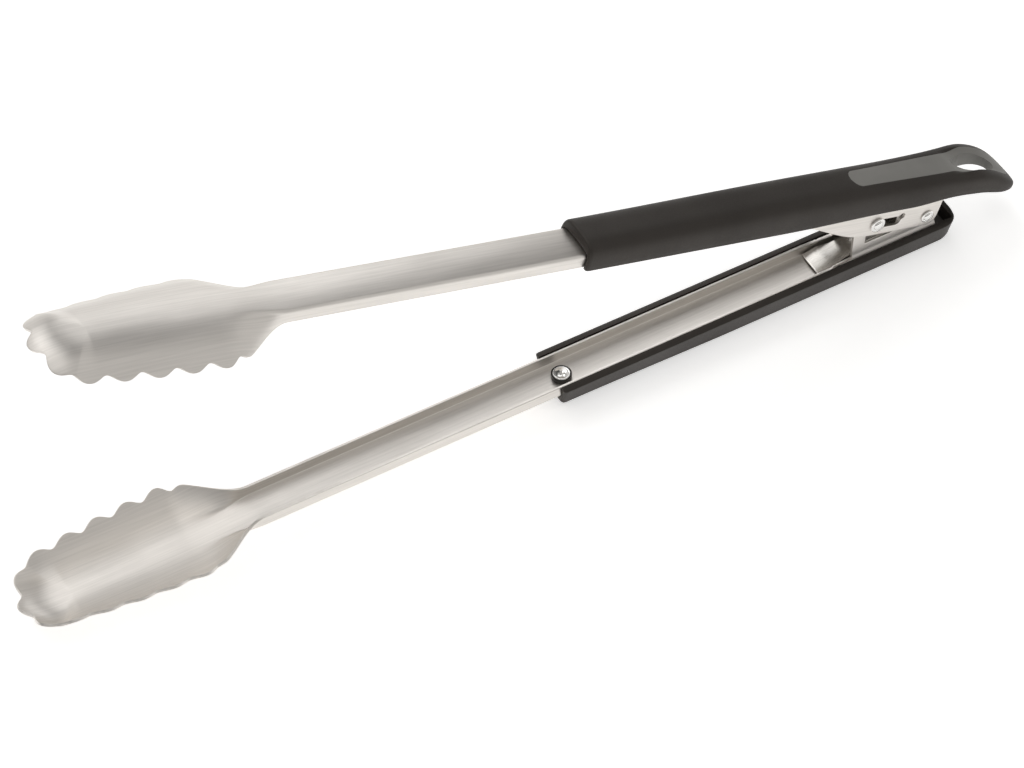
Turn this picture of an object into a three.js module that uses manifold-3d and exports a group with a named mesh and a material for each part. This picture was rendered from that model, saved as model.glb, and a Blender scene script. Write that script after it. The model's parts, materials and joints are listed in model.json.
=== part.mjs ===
// Spring loaded locking tongs: two stamped steel arms with scalloped scoop heads, a riveted hinge
// with a hairpin leaf spring and a sliding lock pin, and two moulded grips held by a screw each.
// Millimetres, +Z up. The lower arm lies flat, the heads point to -X and the hinge axis is along Y.
//
// Each arm is drawn in its own arm frame: +X runs from the hinge axis towards the head, Y is across
// and +Z points away from the other arm. The origin is on the hinge axis.
import * as THREE from "three";
import { mergeVertices } from "three/addons/utils/BufferGeometryUtils.js";
import Module from "manifold-3d";

const wasm = await Module();
wasm.setup();

// Whole object
const OPEN_ANGLE = THREE.MathUtils.degToRad(17);
const SHEET = 1.0;
const GAP = 0.3;

// Channel of each arm
const FLANGE_Z = 6.9;
const CHANNEL_HALF = 7.85;
const WEB_Z = 11.9;
const WEB_CROWN = 1.3;
const CORNER_RADIUS = 2.0;

// Scoop head
const FLARE_START = 271;
const BOWL_START = 280;
const SHOULDER_END = 298;
const HEAD_HALF = 21.3;
const HEAD_TAPER = 0.02;
const HEAD_CURVE = 0.0015;
const FRONT_ARC = { x: 341.5, radius: 18.9 };
const RIM_Z = 5.6;
const FRONT_RIM_Z = 9.2;
const BOWL_TOP_Z = 13.4;
const SIDE_STEEPNESS = 2.35;
const FRONT_STEEPNESS = 3.6;
const SPINE_END = 341;
const FRONT_FALL = 0.6;

// Scallops round the rim
const SCALLOP_START = 289.4;
const FIRST_PITCH = 10;
const SIDE_PITCH = 11.6;
const SIDE_COUNT = 1 + (SPINE_END - SCALLOP_START - FIRST_PITCH) / SIDE_PITCH;
const CENTRE_COUNT = 7;
const SCALLOP_CUT = 2.1;

// Hinge cheeks
const CHEEK_REAR = -4.8;
const OUTER_CHEEK_FRONT = 68;
const OUTER_CHEEK_FULL = 27;
const OUTER_CHEEK_Z = -4.6;
const INNER_CHEEK_FRONT = 31.5;
const INNER_CHEEK_FRONT_Z = -9.0;
const INNER_CHEEK_REAR_Z = -4.8;
const CHEEK_CORNER = 4.2;
const JOGGLE = SHEET + GAP;
const JOGGLE_TOP = FLANGE_Z + 0.9;
const JOGGLE_END = FLANGE_Z - 1.3;

// Hinge rivet, its sleeve and the lock pin
const RIVET_RADIUS = 2.0;
const RIVET_HEAD_RADIUS = 2.3;
const RIVET_HEAD_HEIGHT = 1.2;
const RIVET_HOLE_RADIUS = RIVET_RADIUS + GAP;
const SLEEVE_RADIUS = 3.4;
const PIN_RADIUS = 1.75;
const PIN_HEAD_RADIUS = 2.75;
const PIN_HEAD_HEIGHT = 1.3;
const PIN_X = 23.8;
const PIN_Z = 0.5;
const PIN_TRAVEL = 9;
const SLOT_RADIUS = PIN_RADIUS + GAP;
const SLOT_HOOK = { x: 12.7, z: 2.3, radius: 1.3 };
const CLOSED_ANGLE = THREE.MathUtils.degToRad(-1.8);

// Leaf spring
const SPRING_WIDTH = 9.2;
const SPRING_THICKNESS = 0.7;
const SPRING_LENGTH = 44.5;

// Grips
const GRIP_FRONT = 155.8;
const GRIP_HALF = 9.75;
const GRIP_RIM_Z = 6.4;
const GRIP_TOP_Z = 18.4;
const GRIP_FRONT_TOP_Z = 16.9;
const GRIP_ROUNDNESS = 3.2;
const LOWER_GRIP_ROUNDNESS = 4.2;
const LOWER_GRIP_TAIL = -13.8;
const UPPER_GRIP_TAIL = -38.6;
const TAIL_WALL = 2.0;
const REST_FLAT_Z = 18.1;

// Hang hole and inlay in the tail of the upper grip
const TAIL_DROP_START = -12;
const DISH = { x: -21, length: 14, half: 8, depth: 3 };
const HOLE = { x: -20.5, length: 9, half: 4.8, taper: 0.25 };
const INLAY = { front: 37.5, rear: -36.3, frontHalf: 4.3, middleHalf: 5, rearHalf: 8.4 };
const INLAY_THICKNESS = 1.2;
const TAIL_ROOM = { front: CHEEK_REAR, rear: -33, half: 6.5, z: 11.2 };

// Grip screws and their bushes
const SCREW_X = 150;
const SCREW_RADIUS = 1.5;
const SCREW_HEAD_RADIUS = 2.7;
const SCREW_HEAD_HEIGHT = 1.0;
const SCREW_LENGTH = 5.5;
const CROSS_LENGTH = 3.4;
const CROSS_WIDTH = 0.8;
const CROSS_DEPTH = 0.7;
const BUSH_RADIUS = 3.75;
const BUSH_BORE = 3.0;
const BUSH_HEIGHT = 0.6;
const CUP_HEIGHT = 2.0;
const ROUND_SEGMENTS = 24;

// Materials
const steel = new THREE.MeshStandardMaterial({ color: 0xd8d4cc, roughness: 0.38, metalness: 1 });
const polished = new THREE.MeshStandardMaterial({ color: 0xe6e4e0, roughness: 0.15, metalness: 1 });
const gripPlastic = new THREE.MeshStandardMaterial({ color: 0x3d3936, roughness: 0.7 });
const inlayPlastic = new THREE.MeshStandardMaterial({ color: 0x7f7e7a, roughness: 0.6 });
const blackPlastic = new THREE.MeshStandardMaterial({ color: 0x151515, roughness: 0.45 });

// ---------------------------------------------------------------- solids and booleans

function toSolid(geometry) {
  const bare = geometry.index ? geometry.toNonIndexed() : geometry.clone();
  bare.deleteAttribute("normal");
  bare.deleteAttribute("uv");
  const merged = mergeVertices(bare, 1e-4);
  const index = merged.index.array;
  const kept = [];
  for (let i = 0; i < index.length; i += 3) {
    const [a, b, c] = [index[i], index[i + 1], index[i + 2]];
    if (a !== b && b !== c && c !== a) {
      kept.push(a, b, c);
    }
  }
  const mesh = new wasm.Mesh({
    numProp: 3,
    vertProperties: new Float32Array(merged.attributes.position.array),
    triVerts: new Uint32Array(kept),
  });
  return new wasm.Manifold(mesh);
}

function toGeometry(solid) {
  const { vertProperties, triVerts } = solid.getMesh();
  const geometry = new THREE.BufferGeometry();
  geometry.setAttribute("position", new THREE.BufferAttribute(vertProperties, 3));
  geometry.setIndex(new THREE.BufferAttribute(triVerts, 1));
  geometry.computeVertexNormals();
  return geometry;
}

// Triangles that fill a ring from its middle.
function fanCap(ring) {
  const middle = [0, 1, 2].map((k) => ring.reduce((sum, p) => sum + p[k], 0) / ring.length);
  return ring.map((a, j) => [middle, a, ring[(j + 1) % ring.length]]);
}

// Triangles that fill a bent strip, whose ring runs out along one side and back along the other.
function stripCap(ring) {
  const last = ring.length - 1;
  const triangles = [];
  for (let i = 0; 2 * (i + 1) < ring.length; i++) {
    triangles.push([ring[i], ring[i + 1], ring[last - i - 1]]);
    triangles.push([ring[i], ring[last - i - 1], ring[last - i]]);
  }
  return triangles;
}

// A closed solid from rings of points; an end whose ring is sewn shut needs no cap.
function loft(rings, startCap = fanCap, endCap = fanCap) {
  const triangles = [];
  for (let i = 0; i + 1 < rings.length; i++) {
    const [ring, next] = [rings[i], rings[i + 1]];
    ring.forEach((a, j) => {
      const k = (j + 1) % ring.length;
      triangles.push([a, next[j], next[k]], [a, next[k], ring[k]]);
    });
  }
  triangles.push(...startCap(rings[0]));
  triangles.push(...endCap(rings[rings.length - 1]).map((triangle) => triangle.reverse()));
  const geometry = new THREE.BufferGeometry();
  geometry.setAttribute("position", new THREE.Float32BufferAttribute(triangles.flat(2), 3));
  return geometry;
}

// An outline in the arm's XZ plane, pushed through from y = from to y = to.
function acrossPrism(shape, from, to, segments = 8) {
  const geometry = new THREE.ExtrudeGeometry(shape, {
    depth: to - from,
    bevelEnabled: false,
    curveSegments: segments,
  });
  geometry.rotateX(Math.PI / 2);
  geometry.translate(0, to, 0);
  return geometry;
}

// An outline in the arm's XY plane, pushed up from z = from to z = to.
function uprightPrism(shape, from, to, segments = 8) {
  const geometry = new THREE.ExtrudeGeometry(shape, {
    depth: to - from,
    bevelEnabled: false,
    curveSegments: segments,
  });
  geometry.translate(0, 0, from);
  return geometry;
}

function roundBar(x, z, radius, length) {
  const geometry = new THREE.CylinderGeometry(radius, radius, length, ROUND_SEGMENTS);
  geometry.translate(x, 0, z);
  return geometry;
}

function lerp(a, b, t) {
  return a + (b - a) * t;
}

// 0 at from and 1 at to, easing at both ends; from may be the larger of the two.
function smooth(from, to, value) {
  const t = THREE.MathUtils.clamp((value - from) / (to - from), 0, 1);
  return t * t * (3 - 2 * t);
}

// ---------------------------------------------------------------- stamped arm

// Half width of the sides of the rim outline at a distance x from the hinge.
function outlineHalf(x) {
  const ahead = Math.max(0, x - SHOULDER_END);
  const side = HEAD_HALF - HEAD_TAPER * ahead - HEAD_CURVE * ahead ** 2;
  return lerp(CHANNEL_HALF, side, smooth(FLARE_START, SHOULDER_END, x));
}

// Where a ray from the end of the spine, turned by angle from +X, meets a side or the front arc.
function frontReach(angle) {
  let low = 0;
  let high = FRONT_ARC.x + FRONT_ARC.radius;
  for (let step = 0; step < 40; step++) {
    const reach = (low + high) / 2;
    const x = SPINE_END + reach * Math.cos(angle);
    const y = reach * Math.sin(angle);
    const inside = y < outlineHalf(x) && Math.hypot(x - FRONT_ARC.x, y) < FRONT_ARC.radius;
    if (inside) {
      low = reach;
    } else {
      high = reach;
    }
  }
  return low;
}

// Where a count of scallops from the first peak falls along the side of the head.
function sidePlace(count) {
  return SCALLOP_START + (count < 1 ? FIRST_PITCH * count : FIRST_PITCH + SIDE_PITCH * (count - 1));
}

// The ribs of an arm: each runs from the spine to the rim, in a plan direction of its own.
function armRibs(cheekEdge) {
  const ribs = [];
  const addSide = (x, count = 0) => {
    const edge = Math.min(cheekEdge(x), lerp(FLANGE_Z, RIM_Z, smooth(FLARE_START, SHOULDER_END, x)));
    ribs.push({ x, direction: [0, 1], reach: outlineHalf(x), edge, front: 0, count });
  };
  [0, 0.35, 1.1, 2.4, CHEEK_CORNER].forEach((step) => addSide(CHEEK_REAR + step));
  [12, OUTER_CHEEK_FULL, INNER_CHEEK_FRONT + 3, 38, 44, 50, 56, 62].forEach((x) => addSide(x));
  [OUTER_CHEEK_FRONT, 110, 160, 210, 252, 262, FLARE_START].forEach((x) => addSide(x));
  for (let x = FLARE_START + 4.4; x < SCALLOP_START - 1; x += 4.4) {
    addSide(x);
  }
  for (let count = 0; count < SIDE_COUNT - 0.1; count += 0.25) {
    addSide(sidePlace(count), count);
  }
  const steps = 13;
  const turned = Array.from({ length: steps + 1 }, (_, i) => Math.PI / 2 * (1 - i / steps));
  const fan = turned.map((angle, i) => ({
    x: SPINE_END,
    direction: [Math.cos(angle), Math.sin(angle)],
    reach: frontReach(angle),
    edge: lerp(RIM_Z, FRONT_RIM_Z, smooth(0, 1, i / steps)),
    front: i / steps,
  }));
  let length = 0;
  let last = null;
  fan.forEach((rib) => {
    const rim = [rib.reach * rib.direction[0], rib.reach * rib.direction[1]];
    length += last ? Math.hypot(rim[0] - last[0], rim[1] - last[1]) : 0;
    rib.length = length;
    last = rim;
  });
  fan.forEach((rib) => {
    rib.count = lerp(SIDE_COUNT, CENTRE_COUNT, rib.length / length);
  });
  return [...ribs, ...fan];
}

const FLOOR_STEPS = 2;
const CORNER_STEPS = 2;
const HALF_STEPS = FLOOR_STEPS + CORNER_STEPS + 4;

// Outer half section of the channel from the spine to the flange edge, as [across, z] points. Its
// walls lean out where the edge is wider than the channel.
function channelSection(reach, edge, joggled) {
  const flat = CHANNEL_HALF - CORNER_RADIUS;
  const points = [];
  for (let i = 0; i <= FLOOR_STEPS; i++) {
    const y = flat * i / FLOOR_STEPS;
    points.push([y, WEB_Z + WEB_CROWN * (1 - (y / flat) ** 2)]);
  }
  for (let i = 1; i <= CORNER_STEPS; i++) {
    const angle = Math.PI / 2 * (1 - i / CORNER_STEPS);
    points.push([
      flat + CORNER_RADIUS * Math.cos(angle),
      WEB_Z + CORNER_RADIUS * (Math.sin(angle) - 1),
    ]);
  }
  const wallTop = WEB_Z - CORNER_RADIUS;
  const levels = joggled ? [JOGGLE_TOP, JOGGLE_END, JOGGLE_END - 3, edge]
    : [1, 2, 3, 4].map((step) => lerp(wallTop, edge, step / 4));
  levels.forEach((z) => {
    const wall = lerp(CHANNEL_HALF, reach, (wallTop - z) / (wallTop - edge));
    points.push([joggled && z < JOGGLE_TOP ? wall - JOGGLE : wall, z]);
  });
  return points;
}

// How far the scallops cut the rim down on a rib.
function scallopCut(rib) {
  return SCALLOP_CUT * (1 - Math.cos(2 * Math.PI * rib.count)) / 2;
}

// Outer half section of the bowl along one rib, from the spine to the scalloped rim.
function bowlSection(rib) {
  const steepness = lerp(SIDE_STEEPNESS, FRONT_STEEPNESS, smooth(0, 1, rib.front));
  const depth = BOWL_TOP_Z - FRONT_FALL * smooth(SPINE_END - 30, SPINE_END, rib.x) - rib.edge;
  const end = rib.reach * (1 - scallopCut(rib) / depth) ** (1 / steepness);
  const points = [];
  for (let i = 0; i <= HALF_STEPS; i++) {
    const s = end * i / HALF_STEPS;
    points.push([s, rib.edge + depth * (1 - (s / rib.reach) ** steepness)]);
  }
  return points;
}

// The same half section moved in by the sheet thickness, square to the sheet.
function insetSection(points) {
  return points.map((point, i) => {
    const before = points[Math.max(0, i - 1)];
    const after = points[Math.min(points.length - 1, i + 1)];
    const [dy, dz] = [after[0] - before[0], after[1] - before[1]];
    const size = Math.hypot(dy, dz);
    const inner = [point[0] + SHEET * dz / size, point[1] - SHEET * dy / size];
    return i === 0 ? [0, point[1] - SHEET] : inner;
  });
}

function armBlank(cheekEdge, joggled) {
  const rings = armRibs(cheekEdge).map((rib) => {
    const flare = smooth(BOWL_START, SHOULDER_END, rib.x);
    const cheeked = joggled && rib.x < OUTER_CHEEK_FRONT && rib.edge < FLANGE_Z;
    const channel = channelSection(rib.reach, rib.edge + scallopCut(rib), cheeked);
    const bowl = bowlSection(rib);
    const outer = channel.map(([y, z], i) => [lerp(y, bowl[i][0], flare), lerp(z, bowl[i][1], flare)]);
    const inner = insetSection(outer);
    const place = ([s, z], side) => [rib.x + s * rib.direction[0], side * s * rib.direction[1], z];
    return [
      ...[...outer].reverse().map((point) => place(point, -1)),
      ...outer.slice(1).map((point) => place(point, 1)),
      ...[...inner].reverse().map((point) => place(point, 1)),
      ...inner.slice(1).map((point) => place(point, -1)),
    ];
  });
  return toSolid(loft(rings, stripCap, () => []));
}

function stadium(a, b, radius) {
  const angle = Math.atan2(b.z - a.z, b.x - a.x);
  const shape = new THREE.Shape();
  shape.absarc(a.x, a.z, radius, angle + Math.PI / 2, angle + 1.5 * Math.PI);
  shape.absarc(b.x, b.z, radius, angle - Math.PI / 2, angle + Math.PI / 2);
  return shape;
}

function throughCheeks(shape) {
  const reach = CHANNEL_HALF + SHEET;
  return toSolid(acrossPrism(shape, -reach, reach));
}

// Rear corners of the cheeks are round; between corner and front the edge follows profile(x).
function cheekEdgeWithCorner(x, profile) {
  const cornerEnd = CHEEK_REAR + CHEEK_CORNER;
  const edge = profile(Math.max(x, cornerEnd));
  const back = Math.max(0, cornerEnd - x);
  return edge + CHEEK_CORNER - Math.sqrt(CHEEK_CORNER ** 2 - back ** 2);
}

function outerCheekEdge(x) {
  const profile = (at) => lerp(OUTER_CHEEK_Z, FLANGE_Z, smooth(OUTER_CHEEK_FULL, OUTER_CHEEK_FRONT, at));
  return cheekEdgeWithCorner(x, profile);
}

function innerCheekEdge(x) {
  const profile = (at) => lerp(INNER_CHEEK_REAR_Z, INNER_CHEEK_FRONT_Z, smooth(0, 14, at));
  return x > INNER_CHEEK_FRONT + 3 ? FLANGE_Z : cheekEdgeWithCorner(x, profile);
}

function armHoles() {
  const screwHole = new THREE.CylinderGeometry(SCREW_RADIUS + GAP, SCREW_RADIUS + GAP, 8, ROUND_SEGMENTS);
  screwHole.rotateX(Math.PI / 2);
  screwHole.translate(SCREW_X, 0, WEB_Z);
  return toSolid(roundBar(0, 0, RIVET_HOLE_RADIUS, 2 * CHANNEL_HALF + 2)).add(toSolid(screwHole));
}

// Upper arm: flat outer cheeks with the hooked slot that the lock pin slides in.
function upperArm() {
  const front = { x: PIN_X, z: PIN_Z };
  const rear = { x: PIN_X - PIN_TRAVEL, z: PIN_Z };
  const slot = throughCheeks(stadium(rear, front, SLOT_RADIUS));
  const hook = throughCheeks(stadium(SLOT_HOOK, rear, SLOT_HOOK.radius));
  return armBlank(outerCheekEdge, false).subtract(armHoles()).subtract(slot.add(hook));
}

// Lower arm: cheeks set in by one sheet, cut away where the lock pin sweeps as the arms close.
function lowerArm() {
  const reach = PIN_RADIUS + 2 * GAP;
  const outer = Math.hypot(PIN_X, PIN_Z) + reach;
  const inner = PIN_X - PIN_TRAVEL - reach;
  const floor = -PIN_Z * Math.cos(CLOSED_ANGLE) - PIN_X * Math.sin(CLOSED_ANGLE) + PIN_RADIUS + GAP;
  const top = INNER_CHEEK_FRONT_Z - SHEET;
  const sweep = new THREE.Shape();
  const at = (radius, z) => [Math.sqrt(radius ** 2 - z ** 2), z];
  sweep.moveTo(...at(inner, floor));
  sweep.absarc(0, 0, outer, Math.asin(floor / outer), Math.asin(top / outer), true);
  sweep.absarc(0, 0, inner, Math.asin(top / inner), Math.asin(floor / inner), false);
  const trimLength = 15;
  const trim = new THREE.BoxGeometry(trimLength, 2 * CHANNEL_HALF + 2, 20);
  trim.translate(INNER_CHEEK_FRONT + trimLength / 2, 0, FLANGE_Z + 0.05 - 10);
  return armBlank(innerCheekEdge, true)
    .subtract(toSolid(trim))
    .subtract(armHoles())
    .subtract(throughCheeks(sweep));
}

// ---------------------------------------------------------------- hinge hardware

function domedHead(radius, height, steps = 5) {
  return Array.from({ length: steps + 1 }, (_, i) => {
    const angle = Math.PI / 2 * i / steps;
    return [radius * Math.cos(angle), height * Math.sin(angle)];
  });
}

// A headed bar along Y: both heads bear on the outer cheeks.
function headedBar(radius, headRadius, headHeight) {
  const under = CHANNEL_HALF + GAP;
  const half = [[radius, under], ...domedHead(headRadius, headHeight).map(([r, y]) => [r, under + y])];
  half[half.length - 1][0] = 0;
  const points = [...[...half].reverse().map(([r, y]) => [r, -y]), ...half];
  return new THREE.LatheGeometry(points.map(([r, y]) => new THREE.Vector2(r, y)), ROUND_SEGMENTS);
}

function ringAlongY(inner, outer, from, to) {
  const corners = [[inner, from], [outer, from], [outer, to], [inner, to], [inner, from]];
  return new THREE.LatheGeometry(corners.map(([r, y]) => new THREE.Vector2(r, y)), ROUND_SEGMENTS);
}

// Middle line of the lower half of the spring in the lower arm's frame, from the hinge to its end.
function springLeg() {
  const radius = SLEEVE_RADIUS + GAP + SPRING_THICKNESS / 2;
  const floor = WEB_Z - SHEET - SPRING_THICKNESS / 2;
  const start = new THREE.Vector2(0, radius);
  const leave = new THREE.Vector2(SPRING_LENGTH * 0.35, radius + 1.2);
  const arrive = new THREE.Vector2(SPRING_LENGTH * 0.75, floor - 2.2);
  const end = new THREE.Vector2(SPRING_LENGTH, floor);
  return new THREE.SplineCurve([start, leave, arrive, end]).getPoints(10);
}

// Hairpin leaf spring in the hinge frame: lower leg, half turn behind the sleeve, upper leg.
function leafSpring() {
  const leg = springLeg();
  const lower = leg.map(({ x, y }) => new THREE.Vector2(-x, -y)).reverse();
  const upper = leg.map(({ x, y }) => new THREE.Vector2(-x, y)
    .rotateAround(new THREE.Vector2(0, 0), -OPEN_ANGLE));
  const radius = leg[0].y;
  const bend = [];
  const turn = Math.PI - OPEN_ANGLE;
  for (let i = 1; i < 10; i++) {
    const angle = -Math.PI / 2 + turn * i / 10;
    bend.push(new THREE.Vector2(radius * Math.cos(angle), radius * Math.sin(angle)));
  }
  const path = [...lower, ...bend, ...upper];
  const side = (offset) => path.map((point, i) => {
    const before = path[Math.max(0, i - 1)];
    const after = path[Math.min(path.length - 1, i + 1)];
    const along = after.clone().sub(before).normalize();
    return new THREE.Vector2(point.x - along.y * offset, point.y + along.x * offset);
  });
  const outline = [...side(-SPRING_THICKNESS / 2), ...side(SPRING_THICKNESS / 2).reverse()];
  return acrossPrism(new THREE.Shape(outline), -SPRING_WIDTH / 2, SPRING_WIDTH / 2);
}

// ---------------------------------------------------------------- grips

// A superellipse D section: flat across the rim, round over the back.
function gripRing({ x, half, rimZ, topZ, roundness, dish = 0, inset = 0 }) {
  const steps = 16;
  const ring = [];
  for (let i = 0; i <= steps; i++) {
    const angle = Math.PI * i / steps;
    const cos = Math.cos(angle);
    const sin = Math.sin(angle);
    const y = -Math.sign(cos) * (half - inset) * Math.abs(cos) ** (2 / roundness);
    const hollow = dish * Math.max(0, 1 - (y / DISH.half) ** 2);
    const base = rimZ - inset;
    ring.push([x, y, base + (topZ - base - inset - hollow) * Math.abs(sin) ** (2 / roundness)]);
  }
  return ring;
}

function endRounding(x, start, end, exponent) {
  const along = THREE.MathUtils.clamp((x - start) / (end - start), 0, 0.995);
  return (1 - along ** exponent) ** (1 / exponent);
}

function gripTop(x) {
  return lerp(GRIP_TOP_Z, GRIP_FRONT_TOP_Z, smooth(60, GRIP_FRONT, x));
}

function stations(tail, roundStart) {
  const tailSteps = [0.995, 0.97, 0.92, 0.84, 0.72, 0.58, 0.42, 0.24, 0];
  const front = [1.6, 0.8, 0.25, 0].map((step) => GRIP_FRONT - step);
  const middle = [40, 60, 80, 100, 125, 140];
  return [...tailSteps.map((step) => lerp(roundStart, tail, step)), ...middle, ...front];
}

function frontRounding(x) {
  const back = Math.max(0, x - (GRIP_FRONT - 1.6)) / 1.6;
  return 0.8 * (1 - Math.sqrt(1 - back ** 2));
}

function lowerGripBody() {
  const roundStart = LOWER_GRIP_TAIL + 6;
  const rings = stations(LOWER_GRIP_TAIL, roundStart).map((x) => {
    const round = endRounding(x, roundStart, LOWER_GRIP_TAIL, 3);
    const shrink = frontRounding(x);
    return gripRing({
      x,
      half: GRIP_HALF * lerp(0.45, 1, round) - shrink,
      rimZ: GRIP_RIM_Z,
      topZ: lerp(GRIP_RIM_Z + 7, gripTop(x), round) - shrink,
      roundness: LOWER_GRIP_ROUNDNESS,
    });
  });
  return toSolid(loft(rings));
}

function upperGripBody(inset) {
  const roundStart = -22;
  const tail = UPPER_GRIP_TAIL;
  const extra = [-18, -14, -10, -6, 0, 12];
  const all = [...stations(tail, roundStart), ...extra].sort((a, b) => a - b);
  const rings = all.map((x) => {
    const round = endRounding(x, roundStart, tail, 3);
    const shrink = frontRounding(x);
    const drop = 8.5 * Math.max(0, (TAIL_DROP_START - x) / (TAIL_DROP_START - tail)) ** 2.2;
    const along = (x - DISH.x) / DISH.length;
    return gripRing({
      x,
      half: (GRIP_HALF + 1.0 * smooth(10, -15, x)) * round - shrink,
      rimZ: GRIP_RIM_Z + 1.8 * smooth(-12, tail, x),
      topZ: gripTop(x) - drop - shrink,
      roundness: lerp(GRIP_ROUNDNESS, 4.5, smooth(10, -15, x)),
      dish: DISH.depth * Math.max(0, 1 - along ** 2),
      inset,
    });
  });
  return toSolid(loft(rings));
}

// The room that the channel takes up inside a grip, with clearance all round.
function channelRoom(from) {
  const outline = channelSection(CHANNEL_HALF, GRIP_RIM_Z - 1, false).map(([y, z]) => [y + (y > 1 ? GAP : 0), z + GAP]);
  const ring = (x) => [
    ...[...outline].reverse().map(([y, z]) => [x, -y, z]),
    ...outline.slice(1).map(([y, z]) => [x, y, z]),
  ];
  return toSolid(loft([ring(from), ring(GRIP_FRONT + 1)]));
}

// The hollow under the tail of the upper grip, behind the end of its channel.
function tailRoom() {
  const room = new THREE.BoxGeometry(TAIL_ROOM.front - TAIL_ROOM.rear, 2 * TAIL_ROOM.half, 10);
  room.translate((TAIL_ROOM.front + TAIL_ROOM.rear) / 2, 0, TAIL_ROOM.z - 5);
  return toSolid(room);
}

function screwPilot() {
  const pilot = new THREE.CylinderGeometry(SCREW_RADIUS + GAP, SCREW_RADIUS + GAP, 6, ROUND_SEGMENTS);
  pilot.rotateX(Math.PI / 2);
  pilot.translate(SCREW_X, 0, WEB_Z + WEB_CROWN + 0.5);
  return toSolid(pilot);
}

function lowerGrip() {
  const underside = new THREE.BoxGeometry(400, 40, 10);
  underside.translate(0, 0, REST_FLAT_Z + 5);
  return lowerGripBody()
    .subtract(channelRoom(LOWER_GRIP_TAIL + TAIL_WALL))
    .subtract(screwPilot())
    .subtract(toSolid(underside));
}

function inlayHalf(x) {
  const straight = lerp(INLAY.frontHalf, INLAY.middleHalf, smooth(INLAY.front, -8, x));
  const flared = lerp(straight, INLAY.rearHalf, smooth(-8, -22, x));
  const frontEnd = endRounding(x, INLAY.front - 3, INLAY.front, 2);
  return flared * frontEnd * endRounding(x, -24, INLAY.rear, 2.6);
}

function inlayPrism(margin) {
  const steps = 36;
  const side = Array.from({ length: steps + 1 }, (_, i) => {
    const x = lerp(INLAY.front, INLAY.rear, (1 - Math.cos(Math.PI * i / steps)) / 2);
    const stretch = i === 0 ? margin : i === steps ? -margin : 0;
    return new THREE.Vector2(x + stretch, inlayHalf(x) + margin);
  });
  const mirrored = side.map(({ x, y }) => new THREE.Vector2(x, -y)).reverse();
  return toSolid(uprightPrism(new THREE.Shape([...side, ...mirrored]), GRIP_RIM_Z + 1, GRIP_TOP_Z + 5));
}

function hangHole(margin) {
  const points = [];
  for (let i = 0; i < 28; i++) {
    const angle = 2 * Math.PI * i / 28;
    const x = HOLE.x + (HOLE.length + margin) * Math.cos(angle);
    const y = (HOLE.half + margin) * Math.sin(angle) * (1 - HOLE.taper * Math.cos(angle));
    points.push(new THREE.Vector2(x, y));
  }
  return toSolid(uprightPrism(new THREE.Shape(points), 0, GRIP_TOP_Z + 5));
}

// The pocket reaches above the grip's own surface, so that nothing thin is left over it.
function upperGrip() {
  const pocket = inlayPrism(GAP).subtract(upperGripBody(INLAY_THICKNESS + GAP));
  return upperGripBody(0)
    .subtract(pocket)
    .subtract(channelRoom(CHEEK_REAR - 2 * GAP))
    .subtract(tailRoom())
    .subtract(hangHole(0))
    .subtract(screwPilot());
}

function upperGripInlay() {
  return upperGripBody(0)
    .subtract(upperGripBody(INLAY_THICKNESS))
    .intersect(inlayPrism(0))
    .subtract(hangHole(0));
}

// ---------------------------------------------------------------- grip screws

// The bush stands on the crowned floor of the channel, which is lower at the edge of the bush.
const BUSH_BASE = WEB_Z + WEB_CROWN - SHEET - 3 * GAP;
const HEAD_BASE = BUSH_BASE - BUSH_HEIGHT - GAP;

// A cup round the head of the screw.
function screwBush() {
  const bore = SCREW_RADIUS + GAP;
  const profile = [[bore, 0], [BUSH_RADIUS, 0], [BUSH_RADIUS, CUP_HEIGHT], [BUSH_BORE, CUP_HEIGHT],
    [BUSH_BORE, BUSH_HEIGHT], [bore, BUSH_HEIGHT], [bore, 0]];
  const points = profile.map(([r, y]) => new THREE.Vector2(r, y));
  const geometry = new THREE.LatheGeometry(points, ROUND_SEGMENTS);
  geometry.rotateX(-Math.PI / 2);
  geometry.translate(SCREW_X, 0, BUSH_BASE);
  return toSolid(geometry);
}

// Pan head screw with a cross recess; its head faces the other arm.
function gripScrew() {
  const head = domedHead(SCREW_HEAD_RADIUS, SCREW_HEAD_HEIGHT);
  head[head.length - 1][0] = 0;
  const points = [[0, -SCREW_LENGTH], [SCREW_RADIUS, -SCREW_LENGTH], [SCREW_RADIUS, 0], ...head];
  const body = new THREE.LatheGeometry(points.map(([r, y]) => new THREE.Vector2(r, y)), ROUND_SEGMENTS);
  body.rotateX(-Math.PI / 2);
  body.translate(SCREW_X, 0, HEAD_BASE);
  const slots = [0, Math.PI / 2].map((angle) => {
    const slot = new THREE.BoxGeometry(CROSS_LENGTH, CROSS_WIDTH, 2 * CROSS_DEPTH);
    slot.rotateZ(angle);
    slot.translate(SCREW_X, 0, HEAD_BASE - SCREW_HEAD_HEIGHT);
    return toSolid(slot);
  });
  return toSolid(body).subtract(slots[0].add(slots[1]));
}

// ---------------------------------------------------------------- assembly

function addPart(parent, name, shape, material) {
  const geometry = shape.getMesh ? toGeometry(shape) : shape;
  const mesh = new THREE.Mesh(geometry, material);
  mesh.name = name;
  parent.add(mesh);
}

const lower = new THREE.Group();
lower.rotation.y = Math.PI;
addPart(lower, "lower_arm", lowerArm(), steel);
addPart(lower, "lower_grip", lowerGrip(), gripPlastic);
addPart(lower, "lower_grip_bush", screwBush(), blackPlastic);
addPart(lower, "lower_grip_screw", gripScrew(), polished);

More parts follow.
